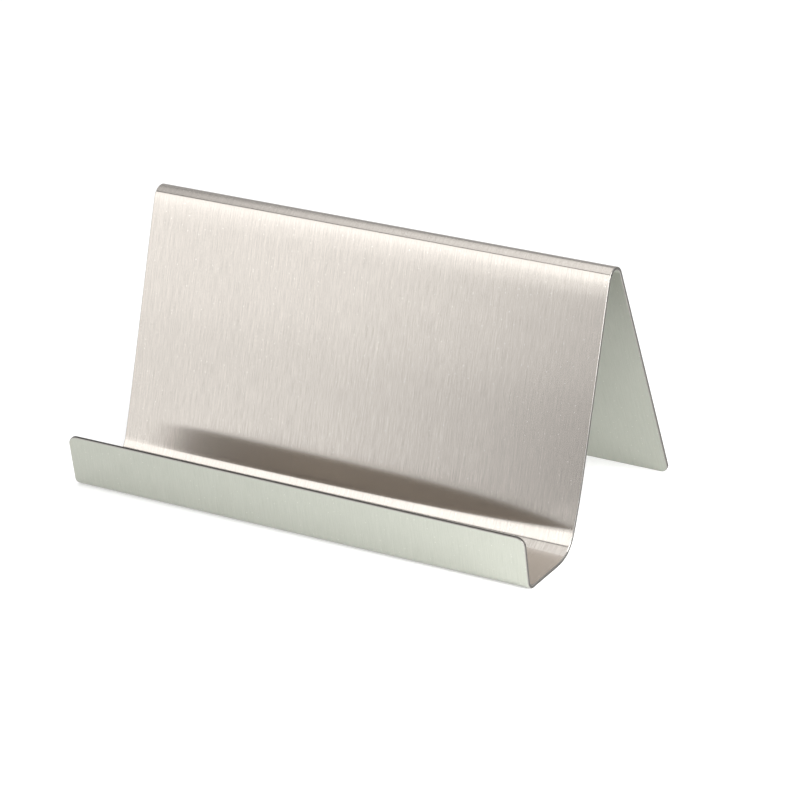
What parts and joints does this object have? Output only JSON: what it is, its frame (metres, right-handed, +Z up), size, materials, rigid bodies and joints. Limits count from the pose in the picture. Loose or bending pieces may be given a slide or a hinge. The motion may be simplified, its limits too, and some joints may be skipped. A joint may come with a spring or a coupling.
{
  "type": "business card holder stand",
  "caption": "Folded stainless sheet stand that holds business cards upright: low front lip, shelf, leaning back panel and a rear leg.",
  "frame": {"origin": "on the table under the centre of the stand's box", "axes": "+X along the width, across the cards; +Y from the front lip to the rear leg; +Z up"},
  "size_m": [0.09, 0.0512, 0.045],
  "materials": {
    "sheet": "fine brushed stainless steel, grain up the panels, deburred cut edges"
  },
  "bodies": {
    "root": {"folded_sheet": "sheet"}
  },
  "joints": []
}
